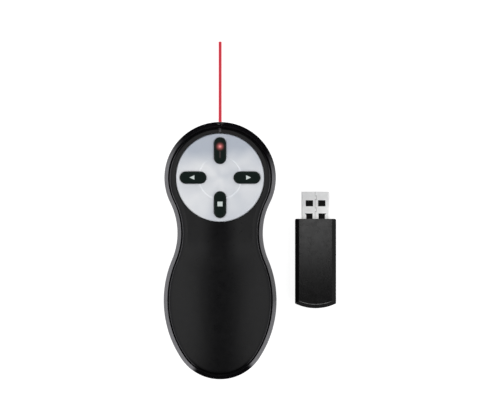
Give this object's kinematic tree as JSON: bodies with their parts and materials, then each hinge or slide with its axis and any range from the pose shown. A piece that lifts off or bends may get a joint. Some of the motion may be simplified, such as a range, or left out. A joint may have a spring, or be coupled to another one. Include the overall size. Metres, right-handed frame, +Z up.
{
  "type": "wireless presentation clicker",
  "caption": "Hand-held wireless presenter: waisted casing, round silver panel with press keys, laser pointer, sliding battery door, and a USB receiver that stows in its tail.",
  "frame": {"origin": "on the rest plane, on the clicker's plane of symmetry, half way along its length", "axes": "+Y out of the laser end, +X to the right seen from above with the laser end away, where the receiver lies, +Z up through the buttons"},
  "size_m": [0.074, 0.1103, 0.027],
  "materials": {
    "cover_soft_touch": "soft-touch satin",
    "band_gloss": "satin gloss",
    "shell_black": "fine spark texture",
    "panel_silver": "pearl silver paint",
    "button_rubber": "matte",
    "switch_black": "matte",
    "plunger_white": "matte",
    "frame_grey": "matte",
    "cell_jacket": "gloss",
    "contact_nickel": "bright",
    "board_green": "solder mask",
    "screw_steel": "zinc plated",
    "barrel_brass": "turned",
    "lens_clear": "clear",
    "light_pipe_smoke": "smoky",
    "diode_can": "gilt",
    "clip_spring": "spring steel",
    "chip_black": "moulded",
    "crystal_can": "bright",
    "capacitor_tan": "ceramic",
    "aerial_copper": "gilt track",
    "led_white": "moulded",
    "receiver_black": "satin",
    "plug_steel": "nickel plated",
    "tongue_black": "matte",
    "pad_gold": "gold flash"
  },
  "bodies": {
    "clicker_body": {"top_cover": "cover_soft_touch", "side_band": "band_gloss", "bottom_shell": "shell_black", "control_panel": "panel_silver", "switch_laser": "switch_black", "switch_previous": "switch_black", "switch_next": "switch_black", "switch_stop": "switch_black", "bay_switch": "switch_black", "chassis": "frame_grey", "receiver_bay": "frame_grey", "battery_left": "cell_jacket", "battery_right": "cell_jacket", "battery_link_plate": "contact_nickel", "battery_contact_positive": "contact_nickel", "battery_contact_negative": "contact_nickel", "main_board": "board_green", "laser_driver_board": "board_green", "board_screws": "screw_steel", "housing_screws": "screw_steel", "laser_barrel": "barrel_brass", "laser_lens": "lens_clear", "laser_window": "lens_clear", "status_light_pipe": "light_pipe_smoke", "laser_diode": "diode_can", "laser_clip": "clip_spring", "radio_chip": "chip_black", "crystal": "crystal_can", "capacitors": "capacitor_tan", "antenna": "aerial_copper", "status_led": "led_white"},
    "laser_key": {"button_laser": "button_rubber", "plunger_laser": "plunger_white"},
    "previous_key": {"button_previous": "button_rubber", "plunger_previous": "plunger_white"},
    "next_key": {"button_next": "button_rubber", "plunger_next": "plunger_white"},
    "stop_key": {"button_stop": "button_rubber", "plunger_stop": "plunger_white"},
    "door": {"battery_door": "shell_black"},
    "receiver": {"receiver_shell_top": "receiver_black", "receiver_shell_bottom": "receiver_black", "usb_shell": "plug_steel", "usb_tongue": "tongue_black", "usb_contacts": "pad_gold", "receiver_board": "board_green", "receiver_chip": "chip_black", "receiver_crystal": "crystal_can", "receiver_antenna": "aerial_copper"}
  },
  "joints": [
    {"name": "press_laser", "type": "slide", "parent": "clicker_body", "child": "laser_key", "axis": [0, 0, -1], "range_m": [0, 0.0005], "stiffness_N_per_m": 400, "springref_m": -0.001},
    {"name": "press_previous", "type": "slide", "parent": "clicker_body", "child": "previous_key", "axis": [0, 0, -1], "range_m": [0, 0.0005], "stiffness_N_per_m": 400, "springref_m": -0.001},
    {"name": "press_next", "type": "slide", "parent": "clicker_body", "child": "next_key", "axis": [0, 0, -1], "range_m": [0, 0.0005], "stiffness_N_per_m": 400, "springref_m": -0.001},
    {"name": "press_stop", "type": "slide", "parent": "clicker_body", "child": "stop_key", "axis": [0, 0, -1], "range_m": [0, 0.0005], "stiffness_N_per_m": 400, "springref_m": -0.001},
    {"name": "door_slide", "type": "slide", "parent": "clicker_body", "child": "door", "axis": [0, 1, 0], "range_m": [0, 0.007]},
    {"name": "receiver_lift", "type": "slide", "parent": "clicker_body", "child": "receiver", "axis": [0, 0, 1], "range_m": [0, 0.03]}
  ]
}
